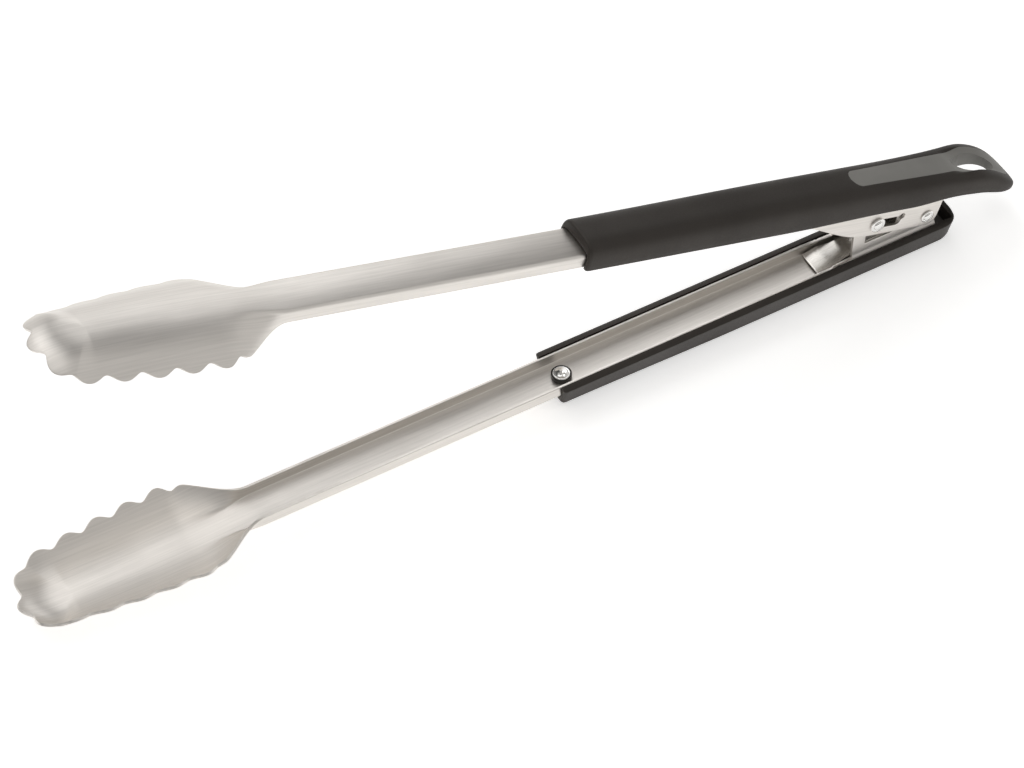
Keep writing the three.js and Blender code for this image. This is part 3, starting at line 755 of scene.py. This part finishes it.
def lower_arm():
    """Its cheeks are cut away where the lock pin sweeps as the arms close."""
    piece = arm_sheet("lower_arm_sheet", inner_cheek_edge, True)
    drill_arm(piece)
    outer = math.hypot(PIN_X, PIN_Z) + PIN_RADIUS + PIN_ROOM
    inner = PIN_X - PIN_TRAVEL - PIN_RADIUS - PIN_ROOM
    floor, top = PIN_RADIUS + PIN_ROOM / 2, INNER_CHEEK_FRONT_Z - SHEET

    def bearing(radius, z):
        return math.degrees(math.asin(z / radius))

    window = arc((0, 0), outer, bearing(outer, floor), bearing(outer, top), 24)
    window += arc((0, 0), inner, bearing(inner, top), bearing(inner, floor), 24)
    boolean(piece, across_prism("window", window, TOOL_REACH))
    rear, ahead = INNER_CHEEK_FRONT, INNER_CHEEK_FRONT + 20
    front = [(rear, FLANGE_Z), (ahead, FLANGE_Z), (ahead, -20), (rear, -20)]
    boolean(piece, across_prism("front", front, TOOL_REACH))
    soften(piece, 0.2)
    finish_piece(piece, LOWER, STEEL, "lower_arm", "lower_arm")


# ------------------------------------------------------------------ hinge hardware
def dome(radius, low, high):
    """Profile of a dome from its foot at low to its middle at high, as (radius, height) points."""
    angles = [math.pi / 2 * i / DOME_STEPS for i in range(DOME_STEPS)]
    points = [(radius * math.cos(a), low + (high - low) * math.sin(a)) for a in angles]
    return points + [(0.0, high)]


def headed_bar(name, radius, head):
    """A bar along Y with a formed head at each end: an edge, a raised ring, a groove and a dome."""
    head_radius, head_height, edge = head
    under = CHANNEL_HALF + 0.05
    form = [(radius, 0.0), (head_radius - 0.1, 0.0), (head_radius, 0.12), (head_radius, edge)]
    form += [(share * head_radius, edge + rise) for share, rise in HEAD_RING]
    form += dome(DOME_SHARE * head_radius, edge + 0.1, head_height)
    half = [(r, under + y) for r, y in form]
    profile = [(r, -y) for r, y in reversed(half)] + half
    piece = lathe(name, profile)
    piece.data.transform(Matrix.Rotation(math.pi / 2, 4, "X"))
    return piece


def hinge_rivet():
    piece = headed_bar("hinge_rivet_turned", RIVET_RADIUS, RIVET_HEAD)
    finish_piece(piece, HINGE, POLISHED, "lower_arm", "hinge_rivet")


def lock_pin():
    piece = headed_bar("lock_pin_turned", PIN_RADIUS, PIN_HEAD)
    piece.data.transform(Matrix.Translation((PIN_X, 0, PIN_Z)))
    finish_piece(piece, UPPER, POLISHED, "lock_pin", "lock_pin")


def hinge_sleeve():
    """A rolled spacer tube with chamfered ends."""
    inner, outer = RIVET_HOLE_RADIUS, SLEEVE_RADIUS
    end = [(inner, -SLEEVE_HALF), (outer - SLEEVE_CHAMFER, -SLEEVE_HALF)]
    end += [(outer, -SLEEVE_HALF + SLEEVE_CHAMFER)]
    profile = end + [(r, -h) for r, h in reversed(end)] + [end[0]]
    piece = lathe("hinge_sleeve_rolled", profile)
    piece.data.transform(Matrix.Rotation(math.pi / 2, 4, "X"))
    finish_piece(piece, HINGE, POLISHED, "lower_arm", "hinge_sleeve")


def catmull(points, steps):
    """A smooth curve through points, with steps points to each stretch."""
    padded = [points[0], *points, points[-1]]
    curve = []
    for i in range(1, len(padded) - 2):
        a, b, c, d = (Vector(p) for p in padded[i - 1:i + 3])
        for step in range(steps):
            t = step / steps
            curve.append(0.5 * (2 * b + (c - a) * t + (2 * a - 5 * b + 4 * c - d) * t ** 2
                                + (3 * b - a - 3 * c + d) * t ** 3))
    return curve + [Vector(points[-1])]


def leaf_spring():
    """A hairpin strip round the sleeve, wider at its ends, with a leg along each arm; it is built in one
    fixed shape and hung on no body.
    """
    radius = SLEEVE_RADIUS + 0.3 + SPRING_THICKNESS / 2
    floor = WEB_Z - SHEET - SPRING_THICKNESS / 2
    leg = catmull([(0, radius), (SPRING_LENGTH * 0.35, radius + 1.2),
                   (SPRING_LENGTH * 0.75, floor - 2.2), (SPRING_LENGTH, floor)], SPRING_LEG_STEPS)
    turn = Matrix.Rotation(OPEN_ANGLE, 2)
    lower = [Vector((-p.x, -p.y)) for p in reversed(leg)]
    upper = [turn.inverted() @ Vector((-p.x, p.y)) for p in leg]
    bend = []
    for i in range(1, SPRING_BEND_STEPS):
        angle = -math.pi / 2 + (math.pi - OPEN_ANGLE) * i / SPRING_BEND_STEPS
        bend.append(Vector((radius * math.cos(angle), radius * math.sin(angle))))
    path = lower + bend + upper
    rings = []
    for i, point in enumerate(path):
        along = (path[min(i + 1, len(path) - 1)] - path[max(i - 1, 0)]).normalized()
        out = Vector((-along.y, along.x)) * SPRING_THICKNESS / 2
        reach = max(0, -point.x)
        half = lerp(SPRING_HINGE_HALF, SPRING_END_HALF, smooth(*SPRING_FLARE, reach))
        inside, outside = point - out, point + out
        corners = [(inside, -half), (outside, -half), (outside, half), (inside, half)]
        rings.append([(p.x, y, p.y) for p, y in corners])
    piece = loft("leaf_spring_strip", rings)
    layer = piece.data.uv_layers.new(name="grain")
    for loop in piece.data.loops:
        at = piece.data.vertices[loop.vertex_index].co
        layer.data[loop.index].uv = (at.y, at.x)
    soften(piece, 0.12)
    finish_piece(piece, HINGE, SPRING_STEEL, None, "leaf_spring")
    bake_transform(piece)


# ------------------------------------------------------------------ grips
def grip_top(x):
    """The outer face of a grip falls gently towards its front."""
    return lerp(GRIP_TOP_Z, GRIP_FRONT_TOP_Z, smooth(60, GRIP_FRONT, x))


def end_share(x, start, end, exponent):
    """The share of its width that is left as an outline rounds off from start to end."""
    along = clamp((x - start) / (end - start), 0, 0.998)
    return (1 - along ** exponent) ** (1 / exponent)


def front_shrink(x, front):
    """How far a grip's surface draws in as it rounds off at its front."""
    ahead = clamp((x - front + LIP_ROUND) / LIP_ROUND)
    return LIP_SHRINK * (1 - math.sqrt(1 - ahead ** 2))


def grip_places(tail, round_start, front):
    """Places of the rings along a grip, closer together at its tail and its lip."""
    ends = [lerp(round_start, tail, math.sin(math.pi / 2 * i / 16)) for i in range(16, 0, -1)]
    lip = [front - GRIP_LIP * (1 - math.sin(math.pi / 2 * i / 10)) for i in range(11)]
    return ends + spread(round_start, 45, 1.5) + spread(45, front - GRIP_LIP - 0.2, 5) + lip


def upper_grip_rim(x):
    """The rim rises over the hinge and the hang hole, then dips at the end of the tail."""
    rise = 1.2 * smooth(70, 20, x) + 2.2 * smooth(12, -14, x)
    return GRIP_RIM_Z + rise - 1.8 * smooth(-18, -33, x)


def tail_drop(x):
    """The tail swells a little over the hang hole, then falls away to its end."""
    back = max(0, (TAIL_DROP_START - x) / (TAIL_DROP_START - UPPER_GRIP_TAIL))
    return TAIL_DROP * back ** 2.1 - 0.5 * smooth(-10, -20, x)


def upper_grip_body(name, inset=0.0):
    """The solid form of the upper grip, with the dish in its tail; inset draws it smaller."""
    rings = []
    for x in grip_places(UPPER_GRIP_TAIL, UPPER_ROUND_START, GRIP_FRONT):
        share = end_share(x, UPPER_ROUND_START, UPPER_GRIP_TAIL, 4.4)
        shrink = front_shrink(x, GRIP_FRONT)
        half = (GRIP_HALF + smooth(0, UPPER_ROUND_START, x)) * share - shrink - inset
        base = upper_grip_rim(x) - inset
        top = grip_top(x) - tail_drop(x) - shrink - inset
        power = 2 / lerp(GRIP_ROUNDNESS, TAIL_ROUNDNESS, smooth(24, -16, x))
        dish = DISH_DEPTH * max(0, 1 - ((x - DISH_X) / DISH_LENGTH) ** 2) ** 1.5
        ring = []
        for i in range(RING_STEPS + 1):
            angle = math.pi * i / RING_STEPS
            y = -math.copysign(half * abs(math.cos(angle)) ** power, math.cos(angle))
            hollow = dish * max(0, 1 - (y / DISH_HALF) ** 4)
            ring.append((x, y, base + (top - base - hollow) * abs(math.sin(angle)) ** power))
        rings.append(ring)
    return loft(name, rings)


def lower_grip_body(name):
    """A broad rim with a crisp outer edge, then sides that lean in to a flat."""
    rings = []
    for x in grip_places(LOWER_GRIP_TAIL, LOWER_ROUND_START, LOWER_GRIP_FRONT):
        share = end_share(x, LOWER_ROUND_START, LOWER_GRIP_TAIL, 2.2)
        shrink = front_shrink(x, LOWER_GRIP_FRONT)
        half = LOWER_RIM_HALF * lerp(0.45, 1, share) - shrink
        top = lerp(GRIP_RIM_Z + 8, min(grip_top(x) + 0.6, REST_Z), share) - shrink
        corner = clamp((x - LOWER_GRIP_FRONT + GRIP_LIP) / GRIP_LIP)
        top -= GRIP_LIP * (1 - math.sqrt(1 - corner ** 2))
        lean = lerp(0.3, 1, share)
        waist, floor = (half - 2.65 * lean, top - 1.6), (half - 4.45 * lean, top)
        outer = [(half - 2.4, GRIP_RIM_Z), (half - 1.2, GRIP_RIM_Z + 0.1)]
        outer += [(half - 0.3, EDGE_Z - 0.15)]
        outer += [(lerp(half, waist[0], i / 8), lerp(EDGE_Z, waist[1], i / 8)) for i in range(9)]
        for i in range(1, 7):
            angle = math.pi / 2 * i / 6
            y = lerp(floor[0], waist[0], math.cos(angle))
            outer.append((y, lerp(waist[1], floor[1], math.sin(angle))))
        outer.append((0, top))
        rings.append([(x, -y, z) for y, z in outer] + [(x, y, z) for y, z in reversed(outer[:-1])])
    return loft(name, rings)


def channel_room(name, start):
    """The room that an arm's channel takes up inside a grip, with a gap round it."""
    half = [(y + (GRIP_GAP if y > 1 else 0), z + GRIP_GAP)
            for y, z in channel_half(CHANNEL_HALF, GRIP_RIM_Z - 3, 0)]
    section = [(-y, z) for y, z in reversed(half)] + half[1:]
    return loft(name, [[(x, y, z) for y, z in section] for x in (start, GRIP_FRONT + 3)])


def lower_grip():
    piece = lower_grip_body("lower_grip_moulding")
    boolean(piece, channel_room("room", LOWER_GRIP_TAIL + 2))
    soften(piece, 0.22, angle=35)
    finish_piece(piece, LOWER, GRIP, "lower_arm", "lower_grip", sharp=50)


def inlay_half(x):
    """Half width of the inlay: a narrow tongue that flares round the hang hole."""
    straight = lerp(4.3, 5.0, smooth(INLAY_FRONT, -8, x))
    flared = lerp(straight, 6.7, smooth(-6, -20, x))
    return flared * end_share(x, INLAY_FRONT - 3, INLAY_FRONT, 2) * end_share(x, -27, INLAY_REAR, 3.4)


def inlay_prism(name, margin):
    """The inlay's outline, wider all round by margin, through the whole grip."""
    side = []
    stretch = {0: margin, INLAY_STEPS: -margin}
    for i in range(INLAY_STEPS + 1):
        x = lerp(INLAY_FRONT, INLAY_REAR, (1 - math.cos(math.pi * i / INLAY_STEPS)) / 2)
        side.append((x + stretch.get(i, 0), inlay_half(x) + margin))
    outline = side + [(x, -y) for x, y in reversed(side)]
    return upright_prism(name, outline, GRIP_RIM_Z + 1, GRIP_TOP_Z + 5)


def hang_hole(name, margin, low=0.0):
    """The egg-shaped hang hole, wider all round by margin, from low up through the grip."""
    outline = []
    for i in range(64):
        angle = 2 * math.pi * i / 64
        x = HOLE_X + (HOLE_LENGTH + margin) * math.cos(angle)
        y = (HOLE_HALF + margin) * math.sin(angle) * (1 - HOLE_TAPER * math.cos(angle))
        outline.append((x, y))
    return upright_prism(name, outline, low, GRIP_TOP_Z + 5)


def tail_room(name):
    """The hollow under the tail of the upper grip, with its rear corners cut off."""
    rear, half = TAIL_ROOM_REAR, TAIL_ROOM_HALF
    outline = [(CHEEK_REAR, -half), (CHEEK_REAR, half), (rear + 4, half), (rear, half - 4)]
    outline += [(x, -y) for x, y in reversed(outline[2:])]
    return upright_prism(name, outline, 0, TAIL_ROOM_Z)


def upper_grip():
    piece = upper_grip_body("upper_grip_moulding")
    pocket = inlay_prism("pocket", SEAM)
    boolean(pocket, upper_grip_body("core", INLAY_THICKNESS))
    boolean(piece, pocket)
    boolean(piece, channel_room("room", CHEEK_REAR - 0.6))
    boolean(piece, tail_room("room"))
    boolean(piece, hang_hole("hole", LINER_WALL + SEAM))
    soften(piece, 0.2, angle=35)
    finish_piece(piece, UPPER, GRIP, "upper_arm", "upper_grip", sharp=50)


def upper_grip_inlay():
    """The soft insert: a skin let into the grip, with a lip that lines the hang hole."""
    piece = upper_grip_body("upper_grip_insert")
    boolean(piece, upper_grip_body("core", INLAY_THICKNESS - SEAM))
    boolean(piece, inlay_prism("edge", 0), "INTERSECT")
    liner = hang_hole("liner", LINER_WALL, LINER_Z)
    boolean(liner, upper_grip_body("skin", 0.02), "INTERSECT")
    boolean(piece, liner, "UNION")
    boolean(piece, hang_hole("hole", 0))
    soften(piece, 0.25, angle=35)
    finish_piece(piece, UPPER, INLAY, "upper_arm", "upper_grip_inlay", sharp=50)


# ------------------------------------------------------------------ grip screws
def screw_bush(side, place):
    """A cup washer that stands on the channel floor round the head of the screw."""
    base, lip = WEB_Z + WEB_CROWN - SHEET - 0.05, SCREW_HEAD_Z - 0.1
    bore, inner, outer = SCREW_HOLE_RADIUS, BUSH_RADIUS - BUSH_WALL, BUSH_RADIUS
    profile = [(bore, base), (outer - 0.1, base), (outer, base - 0.1), (outer, lip + 0.2)]
    profile += [(outer - 0.2, lip), (inner + 0.15, lip), (inner, lip + 0.15), (inner, lip + 0.9)]
    profile += [(bore, lip + 0.9), (bore, base)]
    piece = lathe(f"{side}_bush_cup", profile)
    piece.data.transform(Matrix.Translation((SCREW_X, 0, 0)))
    finish_piece(piece, place, BLACK, f"{side}_arm", f"{side}_grip_bush")


def grip_screw(side, place):
    """A pan head screw with a tapered cross recess and a few turns of thread."""
    profile = [(0.0, SCREW_LENGTH), (THREAD_ROOT - 0.1, SCREW_LENGTH)]
    for i in range(THREAD_TURNS):
        z = SCREW_LENGTH - THREAD_PITCH * (i + 0.5)
        profile += [(THREAD_RADIUS, z), (THREAD_ROOT, z - THREAD_PITCH / 2)]
    edge = [(-0.1, 0.75), (0.0, 0.6), (0.0, 0.2), (-0.1, 0.0), (-0.3, -0.15), (-0.55, -0.15)]
    edge += [(-0.75, -0.02)]
    profile += [(THREAD_RADIUS, 0.95)] + [(SCREW_HEAD_RADIUS + r, z) for r, z in edge]
    profile += [(THREAD_ROOT, 0.3), (0.0, 0.4)]
    profile = [(r, SCREW_HEAD_Z + z) for r, z in profile]
    piece = lathe(f"{side}_screw_turned", profile)
    for angle in (0.4, 0.4 + math.pi / 2):
        rings = []
        for a, b, z in ((0.6, 0.3, 1.1), (2.1, 0.55, -0.6)):
            corners = [(-a, -b), (a, -b), (a, b), (-a, b)]
            turned = [Matrix.Rotation(angle, 2) @ Vector(corner) for corner in corners]
            rings.append([(p.x, p.y, SCREW_HEAD_Z + z) for p in turned])
        boolean(piece, loft("recess", rings))
    soften(piece, 0.06, angle=35)
    piece.data.transform(Matrix.Translation((SCREW_X, 0, 0)))
    finish_piece(piece, place, POLISHED, f"{side}_arm", f"{side}_grip_screw")


# ------------------------------------------------------------------ floor, light and camera
def sky_patch(nodes, direction, towards, start, full, amount):
    """An amount of light that fades in where a direction comes near towards."""
    dot = nodes.add("ShaderNodeVectorMath", operation="DOT_PRODUCT")
    nodes.link(direction, dot.inputs[0])
    dot.inputs[1].default_value = Vector(towards).normalized()
    patch = nodes.add("ShaderNodeMapRange", interpolation_type="SMOOTHSTEP")
    nodes.link(dot.outputs["Value"], patch.inputs["Value"])
    for name, value in (("From Min", start), ("From Max", full), ("To Min", 0.0), ("To Max", amount)):
        patch.inputs[name].default_value = value
    return patch.outputs["Result"]


def sky():
    """A light tent: brighter behind, with a fill in front and two darker patches to reflect."""
    world = bpy.data.worlds.new("studio")
    bpy.context.scene.world = world
    world.use_nodes = True
    nodes = Nodes.of_tree(world.node_tree)
    direction = nodes.add("ShaderNodeTexCoord").outputs["Generated"]
    total = None
    for towards, start, full, amount in SKY_PATCHES:
        add = nodes.add("ShaderNodeMath", operation="ADD")
        nodes.link(sky_patch(nodes, direction, towards, start, full, amount), add.inputs[0])
        add.inputs[1].default_value = SKY_LEVEL
        if total:
            nodes.link(total, add.inputs[1])
        total = add.outputs["Value"]
    background = world.node_tree.nodes["Background"]
    background.inputs["Color"].default_value = SKY_COLOUR
    nodes.link(total, background.inputs["Strength"])


def studio():
    """The paper floor, which glows a little so that it stays white, with the sky and the lamps."""
    far = FLOOR_HALF
    corners = [(-far, -far, 0), (far, -far, 0), (far, far, 0), (-far, far, 0)]
    floor = add_object("floor", corners, [(0, 1, 2, 3)])
    floor.location.z = CAD_BOX[0][2] - FLOOR_DROP
    nodes = Nodes("floor_paper")
    nodes.set("Base Color", (0.95, 0.95, 0.945, 1))
    nodes.set("Roughness", 0.9)
    nodes.set("Specular IOR Level", 0.1)
    nodes.set("Emission Color", (1, 1, 1, 1))
    nodes.set("Emission Strength", FLOOR_GLOW)
    floor.data.materials.append(nodes.material)
    sky()
    for name, place, size, power in LAMPS:
        add_light(name, place, size, power)


def add_light(name, place, size, power):
    light = bpy.data.lights.new(name, "AREA")
    light.shape = "RECTANGLE"
    light.size, light.size_y = size
    light.energy = power
    lamp = bpy.data.objects.new(name, light)
    lamp.location = place
    lamp.rotation_euler = (LAMP_AIM - Vector(place)).to_track_quat("-Z", "Y").to_euler()
    lamp.visible_camera = False
    bpy.context.scene.collection.objects.link(lamp)


def camera():
    """Looks down at the tongs from in front of them, on the side of their heads."""
    data = bpy.data.cameras.new("camera")
    data.lens = CAMERA_LENS
    data.sensor_width = SENSOR
    data.clip_start = 0.01
    eye = bpy.data.objects.new("camera", data)
    right = CAMERA_RIGHT.normalized()
    back = right.cross(CAMERA_UP).normalized()
    up = back.cross(right)
    turn = Matrix((right, up, back)).transposed().to_4x4()
    eye.matrix_world = Matrix.Translation(PIVOT + CAMERA_FROM_PIVOT) @ turn
    bpy.context.scene.collection.objects.link(eye)
    bpy.context.scene.camera = eye
    bpy.context.scene.view_settings.view_transform = "Standard"


# ------------------------------------------------------------------ everything
studio()
camera()
lower_arm()
upper_arm()
hinge_rivet()
lock_pin()
hinge_sleeve()
leaf_spring()
lower_grip()
upper_grip()
upper_grip_inlay()
for side_name, side_place in (("lower", LOWER), ("upper", UPPER)):
    screw_bush(side_name, side_place)
    grip_screw(side_name, side_place)
